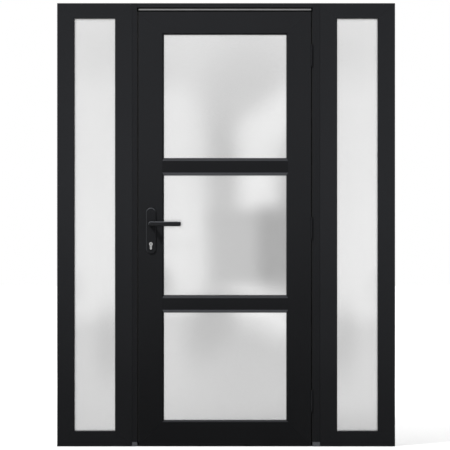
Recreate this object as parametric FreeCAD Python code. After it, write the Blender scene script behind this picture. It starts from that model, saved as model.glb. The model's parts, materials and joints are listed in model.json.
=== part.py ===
import FreeCAD, Part
import os

from FreeCAD import Vector

# Flush glazed entrance door between two fixed sidelights, in millimetres.
# X runs to the right along the face, Y from the face to the back, Z up.
# The origin is the middle of the threshold's underside, half way through the frame's depth.

# Overall sizes
overall_height = 2032.0
frame_depth = 92.0
door_unit_width = 861.0
sidelight_width = 344.1

# Sidelight frames, face widths up to the sight line
sidelight_stile_face = 77.9
sidelight_rail_face = 68.6

# Door frame, face widths beside and over the leaf
lock_jamb_face = 23.0
hinge_jamb_face = 34.0
head_face = 20.5
head_groove = 5.5
head_groove_depth = 30.0
head_strip_thickness = 6.5
head_strip_depth = 30.0
head_strip_setback = 1.5
stop_overlap = 12.0

# Running gaps round the leaf
edge_gap = 7.0
top_gap = 6.1
bottom_gap = 5.0
seal_gap = 5.0

# Threshold
threshold_plate = 4.0
threshold_height = 20.0
threshold_setback = 6.0
threshold_nose = 3.0
threshold_rib_width = 5.0
threshold_rib_depth = 1.2
threshold_rib_count = 4

# Leaf, face widths up to the sight line
leaf_depth = 68.0
lock_stile_width = 114.1
hinge_stile_width = 111.7
top_rail_width = 104.0
bottom_rail_width = 109.3
mid_rail_width = 77.7
lower_pane_height = 495.9
middle_pane_height = 551.3
leaf_slope_width = 6.0
mid_slope_width = 12.0
slope_depth = 6.0
lock_edge_relief = 1.5

# Thermal break: the groove along the outer edges of the bars
break_from_face = 22.0
break_width = 24.0
break_depth = 2.0

# Glazing
face_to_gasket = 7.0
front_gasket = 2.5
glass_thickness = 36.0
back_gasket = 3.0
rebate = 20.0
glass_edge_clearance = 6.0
gasket_lip = 1.2
gasket_width = 10.0
bead_setback = 2.0
bead_chamfer = 6.0
bead_step = 1.5

# Seals
seal_width = 10.0
seal_clearance = 0.3
seal_foot = 1.5

# Edges and joints
edge_break = 1.0
mitre_gap = 0.3
fit_gap = 0.2

# Hinges
hinge_count = 3
hinge_height = 100.0
hinge_end_distance = 200.0
hinge_leaf_thickness = 2.5
hinge_leaf_depth = 30.0
knuckle_radius = 3.4
knuckle_share = 0.34
knuckle_gap = 0.4
knuckle_chamfer = 0.8
hinge_axis_proud = 3.0
hinge_pin_radius = 1.8
hinge_pin_clearance = 0.1
hinge_swing_gap = 0.3

# Handle set
backset = 56.0
spindle_height = 1020.0
cylinder_centres = 92.0
plate_width = 45.0
plate_above_spindle = 74.0
plate_below_cylinder = 43.0
plate_thickness = 8.0
plate_edge_chamfer = 3.0
collar_radius = 14.0
collar_height = 2.0
neck_radius = 10.0
neck_clearance = 0.25
lever_length = 138.0
lever_height = 21.2
lever_depth = 13.0
lever_projection = 62.0
lever_edge_radius = 5.0
lever_end_radius = 6.5
spindle_side = 8.0
spindle_hole_radius = 8.0
spindle_engagement = 30.0
spindle_fit = 0.05

# Lock cylinder, faceplate, bolts and strike
cylinder_radius = 8.5
cylinder_leg_width = 10.0
cylinder_leg_length = 24.0
cylinder_proud = 3.0
cylinder_surround = 2.6
keyway_width = 2.4
keyway_height = 9.0
keyway_depth = 18.0
faceplate_width = 20.0
faceplate_height = 235.0
faceplate_thickness = 3.0
faceplate_below_cylinder = 75.0
latch_height = 22.0
deadbolt_height = 36.0
bolt_width = 12.0
bolt_depth = 22.0
strike_height = 180.0
strike_pocket_depth = 16.0

# Places worked out from the sizes
front_y = -frame_depth / 2
back_y = frame_depth / 2
leaf_back_y = front_y + leaf_depth
stop_y = leaf_back_y + seal_gap
unit_left = -door_unit_width / 2
unit_right = door_unit_width / 2
leaf_left = unit_left + lock_jamb_face + edge_gap
leaf_right = unit_right - hinge_jamb_face - edge_gap
leaf_bottom = threshold_plate + bottom_gap
strip_underside = overall_height - head_face - head_groove - head_strip_thickness
leaf_top = strip_underside - top_gap
break_y = front_y + break_from_face
break_back_y = break_y + break_width
gasket_y = front_y + face_to_gasket
glass_y = gasket_y + front_gasket
glass_back_y = glass_y + glass_thickness
bead_y = glass_back_y + back_gasket
lower_rail_low = leaf_bottom + bottom_rail_width + lower_pane_height
lower_rail_high = lower_rail_low + mid_rail_width
upper_rail_low = lower_rail_high + middle_pane_height
upper_rail_high = upper_rail_low + mid_rail_width
sight_left = leaf_left + lock_stile_width
sight_right = leaf_right - hinge_stile_width
hinge_x = leaf_right + edge_gap / 2
hinge_y = front_y - hinge_axis_proud
handle_x = leaf_left + backset
cylinder_height = spindle_height - cylinder_centres
plate_high = spindle_height + plate_above_spindle
plate_low = cylinder_height - plate_below_cylinder


def face_of(points):
    """Flat face inside a closed outline of points."""
    return Part.Face(Part.makePolygon(points + [points[0]]))


def block(x_low, x_high, y_low, y_high, z_low, z_high):
    """Rectangular block between two corners."""
    size = (x_high - x_low, y_high - y_low, z_high - z_low)
    return Part.makeBox(*size, Vector(x_low, y_low, z_low))


def upright(section, outer_x, inward, z_low, z_high):
    """Vertical bar. A section point is its distance in from the outer edge, and its depth."""
    points = [Vector(outer_x + inward * u, y, z_low) for u, y in section]
    return face_of(points).extrude(Vector(0, 0, z_high - z_low))


def level(section, outer_z, inward, x_low, x_high):
    """Horizontal bar, with the same kind of section as an upright."""
    points = [Vector(x_low, y, outer_z + inward * u) for u, y in section]
    return face_of(points).extrude(Vector(x_high - x_low, 0, 0))


def through(points):
    """Prism right through the depth over an outline of X and Z pairs."""
    reach = frame_depth
    outline = [Vector(x, -reach, z) for x, z in points]
    return face_of(outline).extrude(Vector(0, 2 * reach, 0))


def mitred_frame(x_low, x_high, z_low, z_high, sections, widths):
    """Four bars round a rectangle, mitred from its outer to its inner corners.

    sections and widths hold the left, right, bottom and top bar.
    """
    left, right, bottom, top = widths
    half = mitre_gap / 2
    inner = (x_low + left, x_high - right, z_low + bottom, z_high - top)
    cut_left = through([
        (x_low, z_low + half), (inner[0], inner[2] + half),
        (inner[0], inner[3] - half), (x_low, z_high - half),
    ])
    cut_right = through([
        (x_high, z_low + half), (inner[1], inner[2] + half),
        (inner[1], inner[3] - half), (x_high, z_high - half),
    ])
    cut_bottom = through([
        (x_low + half, z_low), (inner[0] + half, inner[2]),
        (inner[1] - half, inner[2]), (x_high - half, z_low),
    ])
    cut_top = through([
        (x_low + half, z_high), (inner[0] + half, inner[3]),
        (inner[1] - half, inner[3]), (x_high - half, z_high),
    ])
    return {
        "left": upright(sections[0], x_low, 1, z_low, z_high).common(cut_left),
        "right": upright(sections[1], x_high, -1, z_low, z_high).common(cut_right),
        "bottom": level(sections[2], z_low, 1, x_low, x_high).common(cut_bottom),
        "top": level(sections[3], z_high, -1, x_low, x_high).common(cut_top),
    }


def glazed_section(width, rear_y, slope, depth, relief=0):
    """Bar that holds glass: a face, a slope down to the sight line, a rebate, and a grooved edge.

    The edge behind the groove leans in by the relief.
    """
    return [
        (0, front_y + edge_break),
        (edge_break, front_y),
        (width - slope, front_y),
        (width, front_y + depth),
        (width, gasket_y),
        (width - rebate, gasket_y),
        (width - rebate, rear_y),
        (relief + edge_break, rear_y),
        (relief, rear_y - edge_break),
        (0, break_back_y),
        (break_depth, break_back_y),
        (break_depth, break_y),
        (0, break_y),
    ]


def bead_section(rear_y):
    """Glazing bead that fills the rebate behind the glass, with its inner corner stepped and sloped."""
    return [
        (0, bead_y),
        (rebate, bead_y),
        (rebate, rear_y - bead_chamfer - bead_step),
        (rebate - bead_step, rear_y - bead_chamfer - bead_step),
        (rebate - bead_step, rear_y - bead_chamfer),
        (rebate - bead_step - bead_chamfer, rear_y),
        (0, rear_y),
    ]


def ring(x_low, x_high, z_low, z_high, y_low, y_high):
    """Gasket ring that laps behind the sight line and shows a lip inside it."""
    reach = gasket_width - gasket_lip
    outer = block(x_low - reach, x_high + reach, y_low, y_high, z_low - reach, z_high + reach)
    lip = gasket_lip
    inner = block(x_low + lip, x_high - lip, y_low, y_high, z_low + lip, z_high - lip)
    return outer.cut(inner)


def glazing(x_low, x_high, z_low, z_high, rear_y):
    """Glass, gaskets and beads for one opening between sight lines."""
    bite = rebate - glass_edge_clearance
    glass = block(x_low - bite, x_high + bite, glass_y, glass_back_y, z_low - bite, z_high + bite)
    gaskets = [
        ring(x_low, x_high, z_low, z_high, gasket_y, glass_y),
        ring(x_low, x_high, z_low, z_high, glass_back_y, bead_y),
    ]
    section = bead_section(rear_y - bead_setback)
    bars = mitred_frame(
        x_low - rebate, x_high + rebate, z_low - rebate, z_high + rebate,
        [section] * 4, [rebate] * 4,
    )
    return glass, gaskets, list(bars.values())


def sidelight(x_low, x_high):
    """Fixed light: four mitred bars and its glazing."""
    stile = glazed_section(sidelight_stile_face, back_y, edge_break, edge_break)
    rail = glazed_section(sidelight_rail_face, back_y, edge_break, edge_break)
    bars = mitred_frame(
        x_low, x_high, 0, overall_height,
        [stile, stile, rail, rail],
        [sidelight_stile_face] * 2 + [sidelight_rail_face] * 2,
    )
    glass, gaskets, beads = glazing(
        x_low + sidelight_stile_face, x_high - sidelight_stile_face,
        sidelight_rail_face, overall_height - sidelight_rail_face, back_y,
    )
    return bars, glass, gaskets, beads


def jamb_section(face):
    """Door jamb: a face beside the leaf, a grooved reveal, and a stop behind the leaf."""
    stop = face + edge_gap + stop_overlap
    return [
        (0, front_y + edge_break),
        (edge_break, front_y),
        (face - edge_break, front_y),
        (face, front_y + edge_break),
        (face, break_y),
        (face - break_depth, break_y),
        (face - break_depth, break_back_y),
        (face, break_back_y),
        (face, stop_y),
        (stop, stop_y),
        (stop, back_y),
        (0, back_y),
    ]


def head_section():
    """Door frame head: a face, a groove over the bright strip, and a stop behind the leaf."""
    stop = overall_height - leaf_top + stop_overlap
    seat = head_face + head_groove
    return [
        (0, front_y + edge_break),
        (edge_break, front_y),
        (head_face - edge_break, front_y),
        (head_face, front_y + edge_break),
        (head_face, front_y + head_groove_depth),
        (seat, front_y + head_groove_depth),
        (seat, stop_y),
        (stop, stop_y),
        (stop, back_y),
        (0, back_y),
    ]


def round_ended(x_low, x_high, y_low, y_high, z_low, z_high):
    """Slab in a leaf's or jamb's edge, with its top and bottom rounded."""
    half = (y_high - y_low) / 2
    slab = block(x_low, x_high, y_low, y_high, z_low + half, z_high - half)
    for z in (z_low + half, z_high - half):
        centre = Vector(x_low, y_low + half, z)
        slab = slab.fuse(Part.makeCylinder(half, x_high - x_low, centre, Vector(1, 0, 0)))
    return slab.removeSplitter()


def seal_run(start, across, along, length):
    """Run of weather seal: a flat foot on the stop, and a rounded lip towards the leaf."""
    towards = Vector(0, -1, 0)
    lip = stop_y - leaf_back_y - seal_clearance
    end = start + across * seal_width
    inset = seal_foot
    thick = towards * seal_foot
    lip_start = end - across * inset + thick
    lip_end = start + across * inset + thick
    crown = start + across * (seal_width / 2) + towards * lip
    foot = Part.makePolygon([lip_end, start + thick, start, end, end + thick, lip_start])
    arc = Part.Arc(lip_start, crown, lip_end).toShape()
    return Part.Face(Part.Wire(foot.Edges + [arc])).extrude(along * length)


def euro_profile(clearance, y_low, y_high):
    """Lock cylinder outline, round above and with a narrow leg below, grown by a clearance."""
    radius = cylinder_radius + clearance
    half = cylinder_leg_width / 2 + clearance
    centre = Vector(handle_x, y_low, cylinder_height)
    depth = y_high - y_low
    round_part = Part.makeCylinder(radius, depth, centre, Vector(0, 1, 0))
    foot_z = cylinder_height + cylinder_radius - cylinder_leg_length - cylinder_leg_width / 2
    foot_centre = Vector(handle_x, y_low, foot_z)
    foot = Part.makeCylinder(half, depth, foot_centre, Vector(0, 1, 0))
    leg = block(handle_x - half, handle_x + half, y_low, y_high, foot_z, cylinder_height)
    return round_part.fuse(leg).fuse(foot).removeSplitter()


def handle_plate(face_y, outward):
    """Long round-ended plate on one face of the leaf, with the lever's and cylinder's holes."""
    radius = plate_width / 2
    y_low = min(face_y, face_y + outward * plate_thickness)
    y_high = y_low + plate_thickness
    high = Vector(handle_x, y_low, plate_high - radius)
    low = Vector(handle_x, y_low, plate_low + radius)
    body = block(handle_x - radius, handle_x + radius, y_low, y_high, low.z, high.z)
    for centre in (low, high):
        body = body.fuse(Part.makeCylinder(radius, plate_thickness, centre, Vector(0, 1, 0)))
    body = body.removeSplitter()
    outer_y = face_y + outward * plate_thickness
    rim = [e for e in body.Edges if abs(e.BoundBox.YMin - outer_y) + abs(e.BoundBox.YMax - outer_y) < 0.01]
    body = body.makeChamfer(plate_edge_chamfer, rim)
    collar_start = Vector(handle_x, face_y, spindle_height)
    outward_axis = Vector(0, outward, 0)
    collar_length = plate_thickness + collar_height
    collar = Part.makeCylinder(collar_radius, collar_length, collar_start, outward_axis)
    hole = Part.makeCylinder(neck_radius + neck_clearance, collar_length, collar_start, outward_axis)
    body = body.fuse(collar).cut(hole)
    return body.cut(euro_profile(cylinder_surround, y_low, y_high))


def lever(face_y, outward):
    """Lever: a flat bar with a round end over the spindle, on a neck that turns in the plate."""
    tip = face_y + outward * lever_projection
    root = tip - outward * lever_depth
    y_low = min(tip, root)
    radius = lever_height / 2
    hub = Part.makeCylinder(
        radius, lever_depth, Vector(handle_x, y_low, spindle_height), Vector(0, 1, 0)
    )
    arm = block(
        handle_x, handle_x + lever_length, y_low, y_low + lever_depth,
        spindle_height - radius, spindle_height + radius,
    )
    ends = [e for e in arm.Edges if abs(e.CenterOfMass.x - handle_x - lever_length) < 0.01
            and abs(e.BoundBox.YLength - lever_depth) < 0.01]
    arm = arm.makeFillet(lever_end_radius, ends)
    bar = arm.fuse(hub).removeSplitter()
    rims = [e for e in bar.Edges if e.BoundBox.YLength < 0.01]
    bar = bar.makeFillet(lever_edge_radius, rims)
    start = face_y + outward * fit_gap
    neck_low = min(start, root + outward * lever_edge_radius)
    neck_length = abs(root + outward * lever_edge_radius - start)
    neck = Part.makeCylinder(
        neck_radius, neck_length, Vector(handle_x, neck_low, spindle_height), Vector(0, 1, 0)
    )
    half = spindle_side / 2 + spindle_fit
    inner = face_y
    outer = face_y + outward * (spindle_engagement + fit_gap)
    socket = block(
        handle_x - half, handle_x + half, min(inner, outer), max(inner, outer),
        spindle_height - half, spindle_height + half,
    )
    return bar.fuse(neck).cut(socket).removeSplitter()


def hinge_centres():
    """Heights of the hinges, evenly spaced between the top and the bottom one."""
    low = leaf_bottom + hinge_end_distance
    high = leaf_top - hinge_end_distance
    step = (high - low) / (hinge_count - 1)
    return [low + step * i for i in range(hinge_count)]


def knuckle(z_low, z_high):
    """One barrel of a hinge about the swing axis."""
    barrel = Part.makeCylinder(knuckle_radius, z_high - z_low, Vector(hinge_x, hinge_y, z_low))
    ends = [e for e in barrel.Edges if e.BoundBox.ZLength < 0.01]
    return barrel.makeChamfer(knuckle_chamfer, ends)


def hinge_halves(centre_z):
    """Frame half with its pin, and leaf half, of one butt hinge."""
    low = centre_z - hinge_height / 2
    high = centre_z + hinge_height / 2
    span = hinge_height * knuckle_share
    middle_low = centre_z - span / 2
    middle_high = centre_z + span / 2
    plate_y = hinge_y + knuckle_radius + hinge_swing_gap
    frame_x = (leaf_right + edge_gap - hinge_leaf_thickness, leaf_right + edge_gap)
    door_x = (leaf_right, leaf_right + hinge_leaf_thickness)

    frame_half = block(*frame_x, plate_y, plate_y + hinge_leaf_depth, low, high)
    for z0, z1 in ((low, middle_low - knuckle_gap), (middle_high + knuckle_gap, high)):
        web = block(*frame_x, hinge_y, plate_y, z0, z1)
        frame_half = frame_half.fuse(knuckle(z0, z1)).fuse(web)
    pin = Part.makeCylinder(hinge_pin_radius, hinge_height, Vector(hinge_x, hinge_y, low))
    frame_half = frame_half.fuse(pin).removeSplitter()

    door_half = block(*door_x, plate_y, plate_y + hinge_leaf_depth, low, high)
    web = block(*door_x, hinge_y, plate_y, middle_low, middle_high)
    door_half = door_half.fuse(knuckle(middle_low, middle_high)).fuse(web)
    bore = Part.makeCylinder(
        hinge_pin_radius + hinge_pin_clearance, hinge_height, Vector(hinge_x, hinge_y, low)
    )
    door_half = door_half.cut(bore).removeSplitter()
    return frame_half, door_half


nodes = {}

# Sidelights
sides = {
    "left": (unit_left - sidelight_width, unit_left),
    "right": (unit_right, unit_right + sidelight_width),
}
for side, (x_low, x_high) in sides.items():
    bars, glass, gaskets, beads = sidelight(x_low, x_high)
    outer, inner = ("left", "right") if side == "left" else ("right", "left")
    nodes[side + "_sidelight_outer_stile"] = bars[outer]
    nodes[side + "_sidelight_inner_stile"] = bars[inner]
    nodes[side + "_sidelight_head"] = bars["top"]
    nodes[side + "_sidelight_sill"] = bars["bottom"]
    nodes[side + "_sidelight_glass"] = glass
    nodes[side + "_sidelight_gaskets"] = Part.makeCompound(gaskets)
    nodes[side + "_sidelight_beads"] = Part.makeCompound(beads)

# Door frame
lock_jamb = upright(jamb_section(lock_jamb_face), unit_left, 1, threshold_height, overall_height)
hinge_jamb = upright(jamb_section(hinge_jamb_face), unit_right, -1, threshold_height, overall_height)
opening_left = unit_left + lock_jamb_face
opening_right = unit_right - hinge_jamb_face
head = level(head_section(), overall_height, -1, opening_left, opening_right)
nodes["door_frame_head"] = head.cut(lock_jamb).cut(hinge_jamb)

edge_y = (break_y + (break_width - faceplate_width) / 2, break_y + (break_width + faceplate_width) / 2)
faceplate_low = cylinder_height - faceplate_below_cylinder
faceplate_high = faceplate_low + faceplate_height
strike_low = (faceplate_low + faceplate_high - strike_height) / 2
strike_high = strike_low + strike_height
bolt_y = ((edge_y[0] + edge_y[1] - bolt_width) / 2, (edge_y[0] + edge_y[1] + bolt_width) / 2)
latch_z = (spindle_height - latch_height / 2, spindle_height + latch_height / 2)
deadbolt_z = (cylinder_height - deadbolt_height / 2, cylinder_height + deadbolt_height / 2)


def bolt_space(x_low, x_high, clearance):
    """The two blocks that the latch and the deadbolt fill, grown by a clearance."""
    spaces = []
    for z_low, z_high in (latch_z, deadbolt_z):
        spaces.append(block(
            x_low, x_high, bolt_y[0] - clearance, bolt_y[1] + clearance,
            z_low - clearance, z_high + clearance,
        ))
    return spaces


strike = round_ended(opening_left - faceplate_thickness, opening_left, *edge_y, strike_low, strike_high)
strike_pocket = round_ended(
    opening_left - faceplate_thickness, opening_left + fit_gap,
    edge_y[0] - fit_gap, edge_y[1] + fit_gap, strike_low - fit_gap, strike_high + fit_gap,
)
lock_jamb = lock_jamb.cut(strike_pocket)
for space in bolt_space(opening_left - strike_pocket_depth, opening_left + fit_gap, edge_break):
    strike = strike.cut(space)
    lock_jamb = lock_jamb.cut(space)
nodes["lock_jamb"] = lock_jamb
nodes["hinge_jamb"] = hinge_jamb
nodes["strike_plate"] = strike

strip_high = overall_height - head_face - head_groove
strip_y = front_y + head_strip_setback
nodes["head_strip"] = block(
    leaf_left, leaf_right, strip_y, strip_y + head_strip_depth, strip_underside, strip_high
)

# Threshold: a nosed and ribbed plate under the leaf, and a riser behind it
plate_front = front_y + threshold_setback
threshold_section = [
    (plate_front, 0),
    (plate_front, threshold_plate - threshold_nose),
    (plate_front + threshold_nose, threshold_plate),
]
rib_step = (leaf_back_y - plate_front - threshold_nose) / (threshold_rib_count + 1)
for i in range(threshold_rib_count):
    groove_y = plate_front + threshold_nose + rib_step * (i + 1) - threshold_rib_width / 2
    threshold_section += [
        (groove_y, threshold_plate),
        (groove_y, threshold_plate - threshold_rib_depth),
        (groove_y + threshold_rib_width, threshold_plate - threshold_rib_depth),
        (groove_y + threshold_rib_width, threshold_plate),
    ]
threshold_section += [
    (stop_y, threshold_plate),
    (stop_y, threshold_height - edge_break),
    (stop_y + edge_break, threshold_height),
    (back_y - edge_break, threshold_height),
    (back_y, threshold_height - edge_break),
    (back_y, 0),
]
outline = [Vector(opening_left, y, z) for y, z in threshold_section]
nodes["threshold"] = face_of(outline).extrude(Vector(opening_right - opening_left, 0, 0))
nodes["threshold_ends"] = Part.makeCompound([
    block(unit_left, opening_left, front_y, back_y, 0, threshold_height),
    block(opening_right, unit_right, front_y, back_y, 0, threshold_height),
])

# Weather seal on the stops, just clear of the leaf
stop_left = opening_left + edge_gap + stop_overlap
stop_right = opening_right - edge_gap - stop_overlap
stop_head = leaf_top - stop_overlap
riser_seal_z = threshold_height - edge_break - seal_width
seal_left = stop_left - seal_width
seal_length = stop_right + seal_width - seal_left
seal_rise = stop_head - threshold_height
upward = Vector(0, 0, 1)
rightward = Vector(1, 0, 0)
nodes["frame_seal"] = Part.makeCompound([
    seal_run(Vector(seal_left, stop_y, threshold_height), rightward, upward, seal_rise),
    seal_run(Vector(stop_right, stop_y, threshold_height), rightward, upward, seal_rise),
    seal_run(Vector(seal_left, stop_y, stop_head), upward, rightward, seal_length),
    seal_run(Vector(seal_left, stop_y, riser_seal_z), upward, rightward, seal_length),
])

# Leaf
lock_section = glazed_section(
    lock_stile_width, leaf_back_y, leaf_slope_width, slope_depth, lock_edge_relief
)
hinge_section = glazed_section(hinge_stile_width, leaf_back_y, leaf_slope_width, slope_depth)
top_section = glazed_section(top_rail_width, leaf_back_y, leaf_slope_width, slope_depth)
bottom_section = glazed_section(bottom_rail_width, leaf_back_y, leaf_slope_width, slope_depth)
leaf_bars = mitred_frame(
    leaf_left, leaf_right, leaf_bottom, leaf_top,
    [lock_section, hinge_section, bottom_section, top_section],
    [lock_stile_width, hinge_stile_width, bottom_rail_width, top_rail_width],
)
lock_stile = leaf_bars["left"]
hinge_stile = leaf_bars["right"]
nodes["hinge_stile"] = hinge_stile
nodes["top_rail"] = leaf_bars["top"]
nodes["bottom_rail"] = leaf_bars["bottom"]

mid_section = [
    (mid_slope_width, front_y),
    (mid_rail_width - mid_slope_width, front_y),
    (mid_rail_width, front_y + slope_depth),
    (mid_rail_width, gasket_y),
    (mid_rail_width - rebate, gasket_y),
    (mid_rail_width - rebate, leaf_back_y),
    (rebate, leaf_back_y),
    (rebate, gasket_y),
    (0, gasket_y),
    (0, front_y + slope_depth),
]
for name, z_low in (("lower_mid_rail", lower_rail_low), ("upper_mid_rail", upper_rail_low)):
    rail = level(
        mid_section, z_low, 1,
        sight_left - leaf_slope_width + mitre_gap, sight_right + leaf_slope_width - mitre_gap,
    )
    web_y = gasket_y
    shoulders = [
        block(sight_left - rebate, sight_left - leaf_slope_width + mitre_gap, web_y, leaf_back_y,
              z_low + rebate, z_low + mid_rail_width - rebate),
        block(sight_right + leaf_slope_width - mitre_gap, sight_right + rebate, web_y, leaf_back_y,
              z_low + rebate, z_low + mid_rail_width - rebate),
    ]
    rail = rail.fuse(shoulders[0]).fuse(shoulders[1]).removeSplitter()
    nodes[name] = rail.cut(lock_stile).cut(hinge_stile)

panes = {
    "upper": (upper_rail_high, leaf_top - top_rail_width),
    "middle": (lower_rail_high, upper_rail_low),
    "lower": (leaf_bottom + bottom_rail_width, lower_rail_low),
}
door_gaskets = []
for name, (z_low, z_high) in panes.items():
    glass, gaskets, beads = glazing(sight_left, sight_right, z_low, z_high, leaf_back_y)
    nodes[name + "_glass"] = glass
    nodes[name + "_beads"] = Part.makeCompound(beads)
    door_gaskets.extend(gaskets)
nodes["door_gaskets"] = Part.makeCompound(door_gaskets)

# Lock in the leaf's edge
faceplate = round_ended(leaf_left, leaf_left + faceplate_thickness, *edge_y, faceplate_low, faceplate_high)
faceplate_pocket = round_ended(
    leaf_left - fit_gap, leaf_left + faceplate_thickness,
    edge_y[0] - fit_gap, edge_y[1] + fit_gap, faceplate_low - fit_gap, faceplate_high + fit_gap,
)
lock_stile = lock_stile.cut(faceplate_pocket)
for space in bolt_space(leaf_left, leaf_left + bolt_depth, fit_gap):
    faceplate = faceplate.cut(space)
    lock_stile = lock_stile.cut(space)
nodes["lock_faceplate"] = faceplate
nodes["lock_bolts"] = Part.makeCompound(bolt_space(leaf_left, leaf_left + bolt_depth, 0))

spindle_hole = Part.makeCylinder(
    spindle_hole_radius, leaf_depth, Vector(handle_x, front_y, spindle_height), Vector(0, 1, 0)
)
lock_stile = lock_stile.cut(spindle_hole).cut(euro_profile(fit_gap, front_y, leaf_back_y))
nodes["lock_stile"] = lock_stile

cylinder_front = front_y - plate_thickness - cylinder_proud
cylinder_back = leaf_back_y + plate_thickness + cylinder_proud
cylinder = euro_profile(0, cylinder_front, cylinder_back)
for y_low in (cylinder_front, cylinder_back - keyway_depth):
    cylinder = cylinder.cut(block(
        handle_x - keyway_width / 2, handle_x + keyway_width / 2, y_low, y_low + keyway_depth,
        cylinder_height - keyway_height / 2, cylinder_height + keyway_height / 2,
    ))
nodes["lock_cylinder"] = cylinder

# Handle set
nodes["outside_plate"] = handle_plate(front_y, -1)
nodes["inside_plate"] = handle_plate(leaf_back_y, 1)
nodes["outside_lever"] = lever(front_y, -1)
nodes["inside_lever"] = lever(leaf_back_y, 1)
half_side = spindle_side / 2
nodes["spindle"] = block(
    handle_x - half_side, handle_x + half_side,
    front_y - spindle_engagement, leaf_back_y + spindle_engagement,
    spindle_height - half_side, spindle_height + half_side,
)

# Hinges
frame_halves = []
door_halves = []
for centre in hinge_centres():
    frame_half, door_half = hinge_halves(centre)
    frame_halves.append(frame_half)
    door_halves.append(door_half)
nodes["hinge_frame_halves"] = Part.makeCompound(frame_halves)
nodes["hinge_door_halves"] = Part.makeCompound(door_halves)

os.makedirs("parts", exist_ok=True)
for name, shape in nodes.items():
    shape.exportStep("parts/" + name + ".step")
    solids = len(shape.Solids)
    print(name, "solids", solids, "valid", shape.isValid(), "volume", round(shape.Volume))
print("nodes", len(nodes), "volume m3", sum(s.Volume for s in nodes.values()) / 1e9)
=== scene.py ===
import json
import math

import bmesh
import bpy
from mathutils import Matrix, Vector


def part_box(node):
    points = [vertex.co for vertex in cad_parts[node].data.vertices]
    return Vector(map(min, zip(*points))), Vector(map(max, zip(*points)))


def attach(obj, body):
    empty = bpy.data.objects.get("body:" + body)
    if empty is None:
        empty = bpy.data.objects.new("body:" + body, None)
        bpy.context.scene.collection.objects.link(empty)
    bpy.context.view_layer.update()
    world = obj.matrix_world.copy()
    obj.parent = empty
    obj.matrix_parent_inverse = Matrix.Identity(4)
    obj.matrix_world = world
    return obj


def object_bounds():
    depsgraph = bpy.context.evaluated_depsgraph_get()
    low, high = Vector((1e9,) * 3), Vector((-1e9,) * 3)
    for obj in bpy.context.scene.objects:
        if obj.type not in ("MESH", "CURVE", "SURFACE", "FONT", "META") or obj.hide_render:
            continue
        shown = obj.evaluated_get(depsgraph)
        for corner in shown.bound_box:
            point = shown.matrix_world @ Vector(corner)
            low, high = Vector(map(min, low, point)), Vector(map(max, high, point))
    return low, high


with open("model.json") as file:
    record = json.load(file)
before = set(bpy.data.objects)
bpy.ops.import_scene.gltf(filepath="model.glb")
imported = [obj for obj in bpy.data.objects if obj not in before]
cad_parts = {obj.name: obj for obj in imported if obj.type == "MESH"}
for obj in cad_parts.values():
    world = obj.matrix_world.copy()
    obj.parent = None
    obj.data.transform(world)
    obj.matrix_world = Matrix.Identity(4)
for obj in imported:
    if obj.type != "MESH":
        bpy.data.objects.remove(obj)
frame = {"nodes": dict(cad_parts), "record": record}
cad_low, cad_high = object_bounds()
bpy.context.scene.view_settings.view_transform = "Standard"

millimetre = 0.001

# Photograph's frame: metres to a pixel on the face, its side in pixels, and where the middle of the
# door and the ground stand in it
metres_per_pixel = 0.004584
frame_pixels = 450
door_axis_pixel = 226.1
ground_pixel = 446.43
picture_middle_x = (frame_pixels / 2 - door_axis_pixel) * metres_per_pixel
picture_middle_z = (ground_pixel - frame_pixels / 2) * metres_per_pixel

# Edges of the solids that the pieces fit
face_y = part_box("lock_stile")[0].y
leaf_low, leaf_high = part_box("lock_stile")[0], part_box("hinge_stile")[1]
set_low, set_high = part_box("left_sidelight_outer_stile")[0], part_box("right_sidelight_outer_stile")[1]
jamb_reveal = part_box("strike_plate")[1].x
hinge_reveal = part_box("hinge_frame_halves")[1].x
handle_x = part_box("spindle")[0].lerp(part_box("spindle")[1], 0.5).x

# Length of one hinge and thickness of its leaves
hinge_length, hinge_thickness = 100 * millimetre, 2.5 * millimetre

# Lock cylinder: radius of its round part, height of that part's axis, and half the leg's width
cylinder_low, cylinder_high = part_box("lock_cylinder")
cylinder_radius = (cylinder_high.x - cylinder_low.x) / 2
cylinder_z = cylinder_high.z - cylinder_radius
cylinder_leg_half = 5.0 * millimetre

# Faces of the long plates, less the collar round the lever's neck
collar_proud = 2.0 * millimetre
inside_low, inside_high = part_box("inside_plate")
outside_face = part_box("outside_plate")[0].y + collar_proud
inside_face = inside_high.y - collar_proud

# Lean of the powder coat towards blue
coat_cool = 0.10

# Steps of grey from a coat's middle tone to its clouds, its right-hand side, lighter as painted light,
# and its fleck
cloud_step, painted_light_right_step, fleck_step = 8, 5, 12

# Faces that meet at more than this angle keep a sharp edge
sharp_angle = math.radians(35)


def linear(value):
    """Linear light of a grey written as 0 to 255."""
    share = value / 255
    return share / 12.92 if share <= 0.04045 else ((share + 0.055) / 1.055) ** 2.4


def grey(value, cool=0.0):
    """Colour of a grey written as 0 to 255, which may lean a little towards blue."""
    level = linear(value)
    return (level * (1 - cool / 3), level, level * (1 + cool), 1)


def coat_greys(values):
    """Colours of a powder coat's greys."""
    return [grey(value, coat_cool) for value in values]


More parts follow.
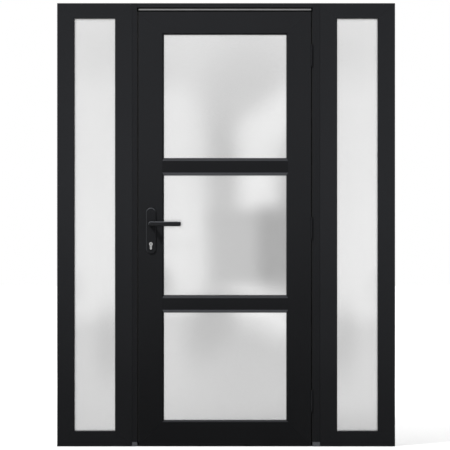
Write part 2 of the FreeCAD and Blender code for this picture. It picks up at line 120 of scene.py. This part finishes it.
class Tree:
    """Short way to add and link the nodes of one material."""

    def __init__(self, name):
        self.material = bpy.data.materials.new(name)
        self.material.use_nodes = True
        self.nodes = self.material.node_tree.nodes
        self.links = self.material.node_tree.links
        self.shader = self.nodes["Principled BSDF"]
        self.place = self.add("ShaderNodeTexCoord").outputs["Object"]

    def add(self, kind, **settings):
        node = self.nodes.new(kind)
        for key, value in settings.items():
            setattr(node, key, value)
        return node

    def link(self, source, target):
        self.links.new(source, target)

    def split(self, vector):
        """The three parts of a vector, by axis."""
        node = self.add("ShaderNodeSeparateXYZ")
        self.link(vector, node.inputs[0])
        return node.outputs

    def stretched(self, scale):
        """The place, stretched along each axis before a texture reads it."""
        node = self.add("ShaderNodeMapping")
        node.inputs["Scale"].default_value = scale
        self.link(self.place, node.inputs["Vector"])
        return node.outputs["Vector"]

    def noise(self, scale, detail=2.0, roughness=0.5, vector=None):
        node = self.add("ShaderNodeTexNoise")
        node.inputs["Scale"].default_value = scale
        node.inputs["Detail"].default_value = detail
        node.inputs["Roughness"].default_value = roughness
        self.link(vector or self.place, node.inputs["Vector"])
        return node.outputs["Fac"]

    def ramp(self, source, low, high, to_low, to_high, smooth=False):
        """A value drawn from one range onto another."""
        node = self.add("ShaderNodeMapRange")
        node.interpolation_type = "SMOOTHSTEP" if smooth else "LINEAR"
        limits = {"From Min": low, "From Max": high, "To Min": to_low, "To Max": to_high}
        for key, value in limits.items():
            node.inputs[key].default_value = value
        self.link(source, node.inputs["Value"])
        return node.outputs["Result"]

    def spread(self, noise, to_low, to_high):
        """The middle of a noise, drawn out from one value to another."""
        return self.ramp(noise, 0.3, 0.7, to_low, to_high)

    def math(self, operation, first, second=None):
        node = self.add("ShaderNodeMath", operation=operation)
        for socket, value in zip(node.inputs, (first, second)):
            if value is None:
                continue
            if isinstance(value, (int, float)):
                socket.default_value = value
            else:
                self.link(value, socket)
        return node.outputs[0]

    def distance(self, first, second):
        """Length of a line from its parts along two axes."""
        squares = [self.math("POWER", self.math("ABSOLUTE", part), 2.0) for part in (first, second)]
        return self.math("SQRT", self.math("ADD", *squares))

    def blend(self, share, first, second):
        """Mix of two colours, each a colour or an output."""
        node = self.add("ShaderNodeMix", data_type="RGBA")
        factor, first_socket, second_socket = node.inputs[0], node.inputs[6], node.inputs[7]
        self.link(share, factor)
        for socket, value in ((first_socket, first), (second_socket, second)):
            if isinstance(value, tuple):
                socket.default_value = value
            else:
                self.link(value, socket)
        return node.outputs[2]

    def bump(self, height, strength, distance):
        node = self.add("ShaderNodeBump")
        node.inputs["Strength"].default_value = strength
        node.inputs["Distance"].default_value = distance
        self.link(height, node.inputs["Height"])
        self.link(node.outputs["Normal"], self.shader.inputs["Normal"])


def painted_slope_light(tree, normal, colour, values):
    """Adds painted highlights on the front sloped faces that face down and up, between flat and upright
    faces.
    """
    tilt = tree.math("ABSOLUTE", normal["Z"])
    front = tree.ramp(normal["Y"], -0.97, -0.2, 1, 0)
    slope = tree.math("MULTIPLY", tree.ramp(tilt, 0.2, 0.4, 0, 1), tree.ramp(tilt, 0.8, 0.95, 1, 0))
    upward = tree.math("GREATER_THAN", normal["Z"], 0.0)
    tone = tree.blend(upward, *coat_greys(values))
    return tree.blend(tree.math("MULTIPLY", slope, front), colour, tone)


def painted_rim_light(tree, normal, colour, values):
    """Adds painted highlight and shade on the rounded or chamfered edges that face up, left, right and
    down.
    """
    facing = tree.math("ABSOLUTE", normal["Y"])
    rim = tree.math("MULTIPLY", tree.ramp(facing, 0.86, 0.97, 1, 0), tree.ramp(facing, 0.05, 0.3, 0, 1))
    up, left, right, down = coat_greys(values)
    sideways = tree.blend(tree.ramp(normal["X"], -0.2, 0.2, 0, 1), left, right)
    upper = tree.blend(tree.ramp(normal["Z"], 0.2, 0.8, 0, 1), sideways, up)
    tone = tree.blend(tree.ramp(normal["Z"], -0.5, -0.1, 1, 0), upper, down)
    return tree.blend(rim, colour, tone)


def powder_coat(name, tones, peak=1.0, slope_lights=None, rim_lights=None, gloss=0.04,
                roughness=0.4, painted_light_right_share=0.0, painted_light_right_rise=(-1.0, 0.0)):
    """Satin powder coat with clouds, fleck and orange peel.

    tones are its greys at the bottom, at a peak height in metres and at the top, darker low down as
    painted shade. The greys of sloped and rounded faces are painted highlight and shade. A share of
    painted light towards the right sets in between two heights.
    """
    cloud_scale, grain_scale, fleck_scale = 2.4, 1400, 2100
    cloud_share, fleck_share = 0.09, 0.35
    roughness_step = 0.05
    peel_depth = 0.1 * millimetre
    tree = Tree(name)
    place = tree.split(tree.place)
    low, middle, top = coat_greys(tones)
    cloud, right, fleck = coat_greys(tones[1] + step for step in (cloud_step, painted_light_right_step, fleck_step))
    # Painted shade: the grey changes with height, darkest at the bottom
    colour = tree.blend(tree.ramp(place["Z"], 0.0, peak, 0, 1, smooth=True), low, middle)
    colour = tree.blend(tree.ramp(place["Z"], peak, cad_high[2], 0, 1), colour, top)
    clouds = tree.ramp(tree.noise(cloud_scale, 3), 0.35, 0.65, 0, cloud_share)
    colour = tree.blend(clouds, colour, cloud)
    # Painted light: lightens the right-hand side, where the key light from the left falls off, fading in
    # between two heights
    if painted_light_right_share:
        across = tree.ramp(place["X"], -0.1, 0.78, 0, painted_light_right_share)
        across = tree.math("MULTIPLY", across, tree.ramp(place["Z"], *painted_light_right_rise, 0, 1))
        colour = tree.blend(across, colour, right)
    normal = tree.split(tree.add("ShaderNodeNewGeometry").outputs["True Normal"])
    if slope_lights is not None:
        colour = painted_slope_light(tree, normal, colour, slope_lights)
    if rim_lights is not None:
        colour = painted_rim_light(tree, normal, colour, rim_lights)
    grain = tree.noise(grain_scale, 2)
    flecks = tree.ramp(tree.noise(fleck_scale, 1), 0.5, 0.72, 0, fleck_share)
    tree.link(tree.blend(flecks, colour, fleck), tree.shader.inputs["Base Color"])
    sheen = tree.spread(grain, roughness - roughness_step, roughness + roughness_step)
    tree.link(sheen, tree.shader.inputs["Roughness"])
    tree.bump(grain, 0.3, peel_depth)
    tree.shader.inputs["Specular IOR Level"].default_value = gloss
    return tree.material


def rubber(name, value, bloom_value, floor_shade_value=None):
    """Matt dark gasket with a faint dusty bloom, which may be darker near the floor as painted shade."""
    bloom_scale, sheen_scale, skin_scale = 60, 900, 700
    skin_depth = 0.1 * millimetre
    tree = Tree(name)
    bloom = tree.ramp(tree.noise(bloom_scale, 4), 0.4, 0.7, 0, 1)
    colour = tree.blend(bloom, grey(value), grey(bloom_value))
    # Painted shade: darker towards the floor
    if floor_shade_value is not None:
        rise = tree.ramp(tree.split(tree.place)["Z"], 0.1, 0.9, 0, 1)
        colour = tree.blend(rise, grey(floor_shade_value), colour)
    tree.link(colour, tree.shader.inputs["Base Color"])
    tree.link(tree.spread(tree.noise(sheen_scale, 2), 0.62, 0.78), tree.shader.inputs["Roughness"])
    tree.bump(tree.noise(skin_scale, 2), 0.2, skin_depth)
    tree.shader.inputs["Specular IOR Level"].default_value = 0.25
    return tree.material


def brushed(name, value, roughness, along):
    """Metal with fine lines drawn along one axis."""
    across_scale, along_scale = 900, 14
    line_depth = 0.08 * millimetre
    tree = Tree(name)
    scale = [across_scale] * 3
    scale["XYZ".index(along)] = along_scale
    lines = tree.noise(1.0, 4, 0.6, tree.stretched(scale))
    dark, light = grey(value - 14), grey(value + 10)
    colour = tree.blend(tree.spread(lines, 0, 1), dark, light)
    tree.link(colour, tree.shader.inputs["Base Color"])
    sheen = tree.spread(lines, roughness - 0.06, roughness + 0.08)
    tree.link(sheen, tree.shader.inputs["Roughness"])
    tree.shader.inputs["Metallic"].default_value = 1.0
    tree.bump(lines, 0.15, line_depth)
    return tree.material


def blurred(at, half, soft, value, **more):
    """One blurred shape: middle, half size and softness in X and Z, and grey.

    It is a box, or an oval whose softness is a share of its size inwards and outwards, and its top
    may lean to the right by an angle.
    """
    return {"at": at, "half": half, "soft": soft, "grey": value, **more}


def blurred_mask(tree, place, patch):
    """Soft mask of one blurred shape."""
    (x, z), (half_x, half_z), (soft_x, soft_z) = patch["at"], patch["half"], patch["soft"]
    lean = math.radians(patch.get("lean", 0))
    offset_x = tree.math("SUBTRACT", place["X"], x)
    offset_z = tree.math("SUBTRACT", place["Z"], z)
    parts = []
    for share_x, share_z in ((math.cos(lean), -math.sin(lean)), (math.sin(lean), math.cos(lean))):
        from_x = tree.math("MULTIPLY", offset_x, share_x)
        from_z = tree.math("MULTIPLY", offset_z, share_z)
        parts.append(tree.math("ADD", from_x, from_z))
    if patch.get("oval"):
        shares = [tree.math("DIVIDE", part, half) for part, half in zip(parts, (half_x, half_z))]
        return tree.ramp(tree.distance(*shares), 1 - soft_x, 1 + soft_z, 1, 0, smooth=True)
    edges = [tree.ramp(tree.math("ABSOLUTE", part), half - soft, half + soft, 1, 0, smooth=True)
             for part, half, soft in zip(parts, (half_x, half_z), (soft_x, soft_z))]
    return tree.math("MULTIPLY", *edges)


def frosted_glass(name, start_value, levels, patches):
    """Etched glass: light grey, with painted blurred shapes of the room seen through it.

    levels multiply its tone at the foot, low down, and from the middle up, as painted light at the foot
    and painted shade low down.
    """
    cloud_scale, etch_scale = 3.0, 1800
    cloud_half = 0.006
    foot_height, low_height, high_height = 0.3, 0.15, 1.1
    etch_depth = 0.04 * millimetre
    tree = Tree(name)
    place = tree.split(tree.place)
    start = linear(start_value)
    tone = tree.spread(tree.noise(cloud_scale, 2), start - cloud_half, start + cloud_half)
    for patch in patches:
        mix = tree.add("ShaderNodeMix", data_type="FLOAT")
        tree.link(blurred_mask(tree, place, patch), mix.inputs[0])
        tree.link(tone, mix.inputs[2])
        mix.inputs[3].default_value = linear(patch["grey"])
        tone = mix.outputs[0]
    # Painted light at the foot and painted shade low down
    foot, low, high = levels
    rise = tree.ramp(place["Z"], low_height, high_height, low, high, smooth=True)
    tone = tree.math("MULTIPLY", tone, rise)
    tone = tree.math("MULTIPLY", tone, tree.ramp(place["Z"], 0.0, foot_height, foot, 1))
    colour = tree.add("ShaderNodeCombineColor")
    for socket in colour.inputs:
        tree.link(tone, socket)
    tree.link(colour.outputs[0], tree.shader.inputs["Base Color"])
    etch = tree.noise(etch_scale, 3)
    tree.link(tree.spread(etch, 0.24, 0.34), tree.shader.inputs["Roughness"])
    tree.bump(etch, 0.08, etch_depth)
    tree.shader.inputs["Transmission Weight"].default_value = 0.94
    tree.shader.inputs["IOR"].default_value = 1.5
    return tree.material


# Painted blurred shapes of the room seen through the door's panes, and painted shade across the lower
# panes
door_shapes = [
    blurred((-0.31, 1.18), (0.176, 0.47), (0.093, 0.087), 229),
    blurred((0.088, 1.726), (0.181, 0.256), (0.765, 0.552), 205, oval=True, lean=26),
    blurred((-0.012, 1.246), (0.068, 0.294), (0.059, 0.183), 196),
    blurred((0.143, 1.248), (0.072, 0.106), (0.075, 0.247), 240),
    blurred((0.26, 1.528), (0.202, 0.083), (0.108, 0.069), 232, lean=-41),
    blurred((0.346, 1.064), (0.095, 0.312), (0.617, 0.63), 181, oval=True),
    blurred((0.119, 0.893), (0.196, 0.192), (0.056, 0.053), 189),
    blurred((0.288, 0.915), (0.142, 0.17), (0.055, 0.07), 165),
    blurred((0.045, 0.727), (0.082, 0.0), (0.2, 0.069), 251),
    blurred((-0.35, 0.743), (0.093, 0.09), (0.62, 0.61), 155, oval=True),
    blurred((0.0, 0.247), (0.4, 0.342), (0.1, 0.02), 196),
    blurred((0.0, 0.05), (0.4, 0.14), (0.1, 0.2), 201),
    blurred((-0.302, 0.557), (0.058, 0.422), (0.331, 0.453), 220),
    blurred((-0.067, 0.56), (0.099, 0.173), (0.87, 0.724), 186, oval=True, lean=18),
    blurred((0.197, 0.595), (0.135, 0.029), (0.068, 0.133), 245, lean=26),
    blurred((0.0, 1.961), (0.45, 0.0), (0.05, 0.342), 236),
]

# Painted blurred shapes of the room seen through the right-hand sidelight, and painted shade low down;
# their greys are steps from the glass's own
sidelight_shapes = [
    blurred((0.723, 1.231), (0.137, 0.484), (0.049, 0.056), 1),
    blurred((0.543, 1.81), (0.212, 0.164), (1.0, 0.487), -9, oval=True),
    blurred((0.674, 0.727), (0.034, 0.072), (0.618, 0.605), -4, oval=True),
    blurred((0.6, 0.145), (0.3, 0.435), (0.05, 0.068), -18),
    blurred((0.541, 0.461), (0.065, 0.17), (0.95, 0.603), -31, oval=True),
]


def sidelight_glass(side, start_value, foot):
    """Frosted glass of one sidelight, whose shapes mirror the other's."""
    sign = -1 if side == "left" else 1
    patches = []
    for patch in sidelight_shapes:
        x, z = patch["at"]
        patches.append({**patch, "at": (sign * x, z), "grey": start_value + patch["grey"]})
    return frosted_glass(side + "_frosted_glass", start_value, (foot, 0.78, 1.025), patches)


# Coat greys darker towards the bottom are painted shade, and the shares towards the right lighten that
# side as painted light
coat = powder_coat("frame_coat", (18.5, 33.2, 28.5), 1.3, painted_light_right_share=0.25, painted_light_right_rise=(0.15, 0.5))
jamb_coat = powder_coat("jamb_coat", (18.5, 28.8, 28), 1.45, painted_light_right_share=0.22, painted_light_right_rise=(0.15, 0.5))
leaf_coat = powder_coat("leaf_coat", (12, 30.8, 29.3), 1.55, painted_light_right_share=0.04)
# The rails' sloped faces get lighter greys as painted highlights
rail_coat = powder_coat("rail_coat", (12.5, 24.2, 22.8), slope_lights=(88, 55))
# The plate's and lever's rounded edges get lighter greys, most where they face up, and the lever's lower
# edge a darker one, as painted highlight and shade
plate_coat = powder_coat("plate_coat", (27, 27, 27), rim_lights=(80, 48, 44, 44))
lever_coat = powder_coat("lever_coat", (28, 28, 28), rim_lights=(92, 48, 28, 8), gloss=0.06, roughness=0.3)
hinge_coat = powder_coat("hinge_coat", (29, 29, 29))
threshold_coat = powder_coat("threshold_coat", (16, 16, 16))
# The end blocks are lighter on the right-hand side as painted light
end_block = powder_coat("end_block_plastic", (66, 72, 72), gloss=0.2, roughness=0.5, painted_light_right_share=1.0)
gasket = rubber("gasket_rubber", 12, 20)
# Near-black ring in the gap round the lock cylinder, as painted shade
shade_ring_black = rubber("shade_ring_black", 3, 6)
# Gap lips: the lighter grey is painted light on the lip the key light doesn't reach, the darker grey
# painted shade on the lit lip, and both grow darker near the floor as painted shade
darker_lip_painted_shade = rubber("darker_lip_painted_shade", 25, 31, 18)
lighter_lip_painted_light = rubber("lighter_lip_rubber_painted_light", 60, 66, 34)
aluminium = brushed("mill_aluminium", 118, 0.42, "X")
steel = brushed("stainless", 170, 0.3, "Z")
nickel = brushed("satin_nickel", 153, 0.25, "X")
door_glass = frosted_glass("door_frosted_glass", 216, (1.03, 0.80, 1.01), door_shapes)
# The right-hand sidelight's glass is a little lighter than the left's, as painted light against the key
# light from the left
left_glass = sidelight_glass("left", 225, 1.07)
right_glass = sidelight_glass("right", 226.5, 1.15)

finish_of_slot = {
    "frame": coat,
    "leaf": leaf_coat,
    "glass": door_glass,
    "gasket": gasket,
    "aluminium": aluminium,
    "steel": steel,
    "handle": plate_coat,
    "cylinder": nickel,
    "hinge": hinge_coat,
    "end_block": end_block,
}
finish_of_node = {
    "left_sidelight_glass": left_glass,
    "right_sidelight_glass": right_glass,
    "upper_mid_rail": rail_coat,
    "lower_mid_rail": rail_coat,
    "bottom_rail": rail_coat,
    "outside_lever": lever_coat,
    "inside_lever": lever_coat,
    "threshold": threshold_coat,
    "lock_jamb": jamb_coat,
    "hinge_jamb": jamb_coat,
}
slot_of_node = {entry["node"]: entry["material_slot"] for entry in frame["record"]["subparts"]}


def dress_nodes():
    """Gives every solid of the frame its finish."""
    for name, node in frame["nodes"].items():
        node.data.materials.clear()
        node.data.materials.append(finish_of_node.get(name) or finish_of_slot[slot_of_node[name]])


def keep(name, shape, finish, body):
    """Turns a bmesh into a piece that rides on a body."""
    mesh = bpy.data.meshes.new(name)
    bmesh.ops.recalc_face_normals(shape, faces=shape.faces)
    shape.to_mesh(mesh)
    shape.free()
    mesh.materials.append(finish)
    mesh.shade_smooth()
    mesh.set_sharp_from_angle(angle=sharp_angle)
    piece = bpy.data.objects.new(name, mesh)
    bpy.context.scene.collection.objects.link(piece)
    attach(piece, body)


def sweep(shape, section, along):
    """Adds a straight run to a bmesh: a closed section of points, drawn along a vector."""
    near = [shape.verts.new(point) for point in section]
    far = [shape.verts.new(Vector(point) + Vector(along)) for point in section]
    count = len(section)
    for i in range(count):
        j = (i + 1) % count
        shape.faces.new((near[i], near[j], far[j], far[i]))
    shape.faces.new(near)
    shape.faces.new(far)


def axes(place, outward):
    """Frame at a place whose Z looks outward and whose Y is up."""
    out = Vector(outward)
    up = Vector((0, 0, 1))
    right = up.cross(out)
    turn = Matrix((right, up, out)).transposed().to_4x4()
    return Matrix.Translation(Vector(place)) @ turn


def flat_shape(outlines, low, high, bevel=0.0):
    """Mesh of flat outlines with holes, from one height to another, with its rims rounded."""
    curve = bpy.data.curves.new("outline", "CURVE")
    curve.dimensions = "2D"
    curve.fill_mode = "BOTH"
    curve.extrude = (high - low) / 2 - bevel
    curve.bevel_depth = bevel
    curve.bevel_resolution = 2
    curve.offset = -bevel
    for outline in outlines:
        spline = curve.splines.new("POLY")
        spline.points.add(len(outline) - 1)
        for point, (x, y) in zip(spline.points, outline):
            point.co = (x, y, 0, 1)
        spline.use_cyclic_u = True
    holder = bpy.data.objects.new("outline", curve)
    mesh = bpy.data.meshes.new_from_object(holder)
    mesh.transform(Matrix.Translation((0, 0, (low + high) / 2)))
    bpy.data.objects.remove(holder)
    bpy.data.curves.remove(curve)
    return mesh


def add_copies(shape, mesh, places):
    """Adds a mesh to a bmesh at each place, and drops the mesh."""
    for place in places:
        copy = mesh.copy()
        copy.transform(place)
        shape.from_mesh(copy)
        bpy.data.meshes.remove(copy)
    bpy.data.meshes.remove(mesh)


def circle(radius, count=32):
    """Points of a circle about the middle."""
    turns = (2 * math.pi * i / count for i in range(count))
    return [(radius * math.cos(turn), radius * math.sin(turn)) for turn in turns]


def cross_outline(reach, half):
    """Outline of a cross recess."""
    corner = [(reach, -half), (reach, half), (half, half)]
    points = []
    for quarter in range(4):
        turn = Matrix.Rotation(quarter * math.pi / 2, 2)
        points += [tuple(turn @ Vector(point)) for point in corner]
    return points


def screws(name, places, radius, finish, body):
    """Countersunk screws with a cross recess, one at each place."""
    proud, rounding = 0.4 * millimetre, 0.12 * millimetre
    cross_reach, cross_half, floor_radius = radius * 0.62, radius * 0.15, radius * 0.7
    shape = bmesh.new()
    head = [circle(radius), cross_outline(cross_reach, cross_half)]
    add_copies(shape, flat_shape(head, 0, proud, rounding), places)
    add_copies(shape, flat_shape([circle(floor_radius)], 0, proud * 0.25), places)
    keep(name, shape, finish, body)


def euro_outline(grow):
    """Lock cylinder outline about its round part, grown by a distance."""
    arc_steps, foot_steps = 30, 12
    radius = cylinder_radius + grow
    half = cylinder_leg_half + grow
    leg_low = -((cylinder_high.z - cylinder_low.z) - cylinder_radius) - grow + half
    meet = math.sqrt(radius * radius - half * half)
    start = math.atan2(-meet, half)
    arc_angle = math.pi - 2 * start
    arc = [start + arc_angle * i / arc_steps for i in range(arc_steps + 1)]
    foot = [math.pi + math.pi * i / foot_steps for i in range(foot_steps + 1)]
    points = [(radius * math.cos(turn), radius * math.sin(turn)) for turn in arc]
    return points + [(half * math.cos(turn), leg_low + half * math.sin(turn)) for turn in foot]


def cylinder_details():
    """Turning plug with its key slot, and a black ring in the gap round the cylinder as painted shade,
    on both sides.
    """
    slot_half_x, slot_half_y = 1.15 * millimetre, 4.4 * millimetre
    key_slot = [(-slot_half_x, -slot_half_y), (slot_half_x, -slot_half_y),
                (slot_half_x, slot_half_y), (-slot_half_x, slot_half_y)]
    plug_rounding = 0.08 * millimetre
    shade_ring_width, shade_ring_clear = 2.6 * millimetre, 0.05 * millimetre
    shade_ring_depth, shade_ring_setback = 4 * millimetre, 2.5 * millimetre
    # Radius, back and front of the plug's wide and narrow part, in millimetres
    plug_parts = ((6.9, -0.5, 0.25), (5.9, 0.25, 0.5))
    sides = {
        "outside": (cylinder_low.y, (0, -1, 0), outside_face),
        "inside": (cylinder_high.y, (0, 1, 0), inside_face),
    }
    for side, (end_y, outward, plate_face) in sides.items():
        place = axes((handle_x, end_y, cylinder_z), outward)
        plug = bmesh.new()
        for radius, low, high in plug_parts:
            outlines = [circle(radius * millimetre, 48), key_slot]
            mesh = flat_shape(outlines, low * millimetre, high * millimetre, plug_rounding)
            add_copies(plug, mesh, [place])
        keep("cylinder_plug_" + side, plug, nickel, "leaf")
        sunk = abs(end_y - plate_face) + shade_ring_setback
        # Black ring sunk in the gap round the cylinder, as painted shade
        outlines = [euro_outline(shade_ring_width), euro_outline(shade_ring_clear)]
        shade_ring = bmesh.new()
        add_copies(shade_ring, flat_shape(outlines, -sunk - shade_ring_depth, -sunk), [place])
        keep("cylinder_shade_ring_" + side, shade_ring, shade_ring_black, "leaf")


def fasteners():
    """Screws of the hinges, faceplate, strike and inside plate."""
    hinge_step, hinge_inset = 36 * millimetre, 12 * millimetre
    lock_inset, plate_inset = 10 * millimetre, 16 * millimetre
    hinge_radius, small_radius = 4.2 * millimetre, 4.0 * millimetre

    low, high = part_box("hinge_frame_halves")
    middles = [low.z + hinge_length / 2, (low.z + high.z) / 2, high.z - hinge_length / 2]
    heights = [middle + step * hinge_step for middle in middles for step in (-1, 0, 1)]
    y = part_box("hinge_door_halves")[1].y - hinge_inset
    places = [axes((leaf_high.x + hinge_thickness, y, z), (1, 0, 0)) for z in heights]
    screws("hinge_screws_leaf", places, hinge_radius, steel, "leaf")
    places = [axes((hinge_reveal - hinge_thickness, y, z), (-1, 0, 0)) for z in heights]
    screws("hinge_screws_frame", places, hinge_radius, steel, "frame")

    low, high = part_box("lock_faceplate")
    y = (low.y + high.y) / 2
    places = [axes((low.x, y, z), (-1, 0, 0)) for z in (low.z + lock_inset, high.z - lock_inset)]
    screws("faceplate_screws", places, small_radius, steel, "leaf")
    low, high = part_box("strike_plate")
    places = [axes((high.x, y, z), (1, 0, 0)) for z in (low.z + lock_inset, high.z - lock_inset)]
    screws("strike_screws", places, small_radius, steel, "frame")

    heights = (inside_low.z + plate_inset, inside_high.z - plate_inset)
    places = [axes((handle_x, inside_face, z), (0, 1, 0)) for z in heights]
    screws("inside_plate_screws", places, small_radius, plate_coat, "leaf")


def gap_lips():
    """Soft rounded lips on both sides of the running gaps, just behind the face.

    On the hinge side they stop short of the three hinges.
    """
    start = face_y + 1.6 * millimetre
    width = 7.0 * millimetre
    clear, steps = 1.0 * millimetre, 10
    stretch = hinge_length + clear
    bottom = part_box("lock_jamb")[0].z
    hinge_low, hinge_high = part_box("hinge_frame_halves")
    middle = (hinge_low.z + hinge_high.z) / 2
    levels = [bottom, hinge_low.z - clear,
              hinge_low.z + stretch, middle - stretch / 2,
              middle + stretch / 2, hinge_high.z - stretch,
              hinge_high.z + clear, leaf_high.z]
    whole, parted = [(bottom, leaf_high.z)], list(zip(levels[0::2], levels[1::2]))
    # The lip the key light doesn't reach takes the lighter grey as painted light, the lit lip the darker
    # grey as painted shade
    # Name, wall, way into the gap, height in millimetres, body, finish and stretches
    lips = [
        ("gap_lip_lock_jamb", jamb_reveal, 1, 1.8, "frame", lighter_lip_painted_light, whole),
        ("gap_lip_lock_stile", leaf_low.x, -1, 1.8, "leaf", darker_lip_painted_shade, whole),
        ("gap_lip_hinge_jamb", hinge_reveal, -1, 1.4, "frame", darker_lip_painted_shade, parted),
        ("gap_lip_hinge_stile", leaf_high.x, 1, 1.4, "leaf", lighter_lip_painted_light, parted),
    ]
    turns = [math.pi * i / steps for i in range(steps + 1)]
    for name, wall, inward, proud, body, finish, spans in lips:
        shape = bmesh.new()
        for low, high in spans:
            section = [(wall + inward * proud * millimetre * math.sin(turn),
                        start + width * (1 - math.cos(turn)) / 2, low) for turn in turns]
            sweep(shape, section, (0, 0, high - low))
        keep(name, shape, finish, body)


def ribbed(width, thickness, ribs):
    """Section of a ribbed strip: pairs of place across and height."""
    pitch = width / (2 * ribs + 1)
    base = thickness * 0.6
    points = [(0, 0), (0, base)]
    for i in range(ribs):
        left = pitch * (2 * i + 1)
        points += [(left, base), (left, thickness), (left + pitch, thickness), (left + pitch, base)]
    return points + [(width, base), (width, 0)]


def break_strips():
    """Black ribbed plastic strips in the thermal break grooves of every bar edge that can be seen."""
    groove_depth, groove_width, groove_setback = 2.0 * millimetre, 24 * millimetre, 22 * millimetre
    clear = 0.3 * millimetre
    start = face_y + groove_setback + clear
    section = ribbed(groove_width - 2 * clear, groove_depth - clear, ribs=3)
    inset = 3 * millimetre
    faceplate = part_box("lock_faceplate")
    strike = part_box("strike_plate")
    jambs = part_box("lock_jamb")
    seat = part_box("head_strip")[1].z

    def upright_runs(x, outward, spans):
        return [([(x - outward * (groove_depth - h), start + w, low) for w, h in section],
                 (0, 0, high - low)) for low, high in spans]

    def level_runs(z, outward, spans):
        return [([(low, start + w, z - outward * (groove_depth - h)) for w, h in section],
                 (high - low, 0, 0)) for low, high in spans]

    full = (set_low.z + inset, set_high.z - inset)
    sides = [(set_low.x + inset, jambs[0].x - inset),
             (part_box("hinge_jamb")[1].x + inset, set_high.x - inset)]
    frame_runs = upright_runs(set_low.x, -1, [full]) + upright_runs(set_high.x, 1, [full])
    frame_runs += level_runs(set_high.z, 1, sides) + level_runs(set_low.z, -1, sides)
    frame_runs += upright_runs(jamb_reveal, 1, [
        (jambs[0].z, strike[0].z - clear), (strike[1].z + clear, seat)])
    frame_runs += upright_runs(hinge_reveal, -1, [(jambs[0].z, seat)])
    leaf_full = (leaf_low.z + inset, leaf_high.z - inset)
    leaf_runs = upright_runs(leaf_low.x, -1, [
        (leaf_full[0], faceplate[0].z - clear), (faceplate[1].z + clear, leaf_full[1])])
    leaf_runs += upright_runs(leaf_high.x, 1, [leaf_full])
    across = (leaf_low.x + inset, leaf_high.x - inset)
    leaf_runs += level_runs(leaf_high.z, 1, [across]) + level_runs(leaf_low.z, -1, [across])
    for body, runs in (("frame", frame_runs), ("leaf", leaf_runs)):
        shape = bmesh.new()
        for points, along in runs:
            sweep(shape, points, along)
        keep("thermal_break_" + body, shape, gasket, body)


def camera():
    """Long lens straight in front of the face, at the photograph's framing."""
    lens, sensor_width, far_end = 200.0, 36.0, 200
    data = bpy.data.cameras.new("camera")
    data.sensor_width = sensor_width
    data.lens = lens
    data.clip_end = far_end
    view = bpy.data.objects.new("camera", data)
    distance = frame_pixels * metres_per_pixel * lens / sensor_width
    view.location = (picture_middle_x, face_y - distance, picture_middle_z)
    view.rotation_euler = (math.radians(90), 0, 0)
    bpy.context.scene.collection.objects.link(view)
    bpy.context.scene.camera = view


def soft_light(name, place, aim_height, size, power):
    """Square soft box that looks at a height on the door's axis."""
    data = bpy.data.lights.new(name, "AREA")
    data.shape = "SQUARE"
    data.size = size
    data.energy = power
    light = bpy.data.objects.new(name, data)
    light.location = place
    aim = Vector((0, 0, aim_height))
    light.rotation_euler = (aim - Vector(place)).to_track_quat("-Z", "Y").to_euler()
    bpy.context.scene.collection.objects.link(light)
    return light


def ray_kinds(nodes, links):
    """1 where a ray comes from the camera, a reflection or a transmission."""
    path = nodes.new("ShaderNodeLightPath")
    total = path.outputs["Is Camera Ray"]
    for kind in ("Is Glossy Ray", "Is Transmission Ray"):
        join = nodes.new("ShaderNodeMath")
        join.operation = "MAXIMUM"
        links.new(total, join.inputs[0])
        links.new(path.outputs[kind], join.inputs[1])
        total = join.outputs[0]
    return total


def white_world():
    """World that shows white and lights the object with a small share of it."""
    light_share = 0.14
    world = bpy.data.worlds.new("studio")
    bpy.context.scene.world = world
    world.use_nodes = True
    nodes, links = world.node_tree.nodes, world.node_tree.links
    back = nodes["Background"]
    back.inputs["Color"].default_value = (1, 1, 1, 1)
    strength = nodes.new("ShaderNodeMapRange")
    strength.inputs["To Min"].default_value = light_share
    strength.inputs["To Max"].default_value = 1.0
    links.new(ray_kinds(nodes, links), strength.inputs["Value"])
    links.new(strength.outputs["Result"], back.inputs["Strength"])


def pale_floor():
    """Pale floor that keeps the object's shadow and turns white farther off."""
    side, below = 60, 0.5 * millimetre
    near, far, near_glow = 1.5, 5.0, 0.46
    bpy.ops.mesh.primitive_plane_add(size=side, location=(0, 0, -below))
    floor = bpy.context.object
    floor.name = "floor"
    tree = Tree("pale_floor")
    tones = [(level, level, level, 1) for level in (0.54, 0.58)]
    tree.link(tree.blend(tree.noise(1.2, 2), *tones), tree.shader.inputs["Base Color"])
    tree.shader.inputs["Roughness"].default_value = 0.9
    tree.shader.inputs["Emission Color"].default_value = (1, 1, 1, 1)
    place = tree.split(tree.place)
    glow = tree.ramp(tree.distance(place["X"], place["Y"]), near, far, near_glow, 1.0, smooth=True)
    glow = tree.math("MULTIPLY", glow, ray_kinds(tree.nodes, tree.links))
    tree.link(glow, tree.shader.inputs["Emission Strength"])
    floor.data.materials.append(tree.material)


def soft_lights():
    """Key light from above the left shoulder, two weak ones that fill it, and one from behind."""
    soft_light("key", (-4.85, -4.85, 7.75), 1.2, 0.6, 1130)
    soft_light("overhead", (-0.3, -2.0, 3.6), 1.6, 1.0, 12)
    soft_light("fill", (3.8, -4.6, 2.6), 1.1, 2.4, 34)
    behind = soft_light("behind", (1.9, 4.6, 4.0), 1.1, 1.6, 300)
    behind.visible_glossy = behind.visible_transmission = False


dress_nodes()
cylinder_details()
fasteners()
gap_lips()
break_strips()
camera()
white_world()
pale_floor()
soft_lights()
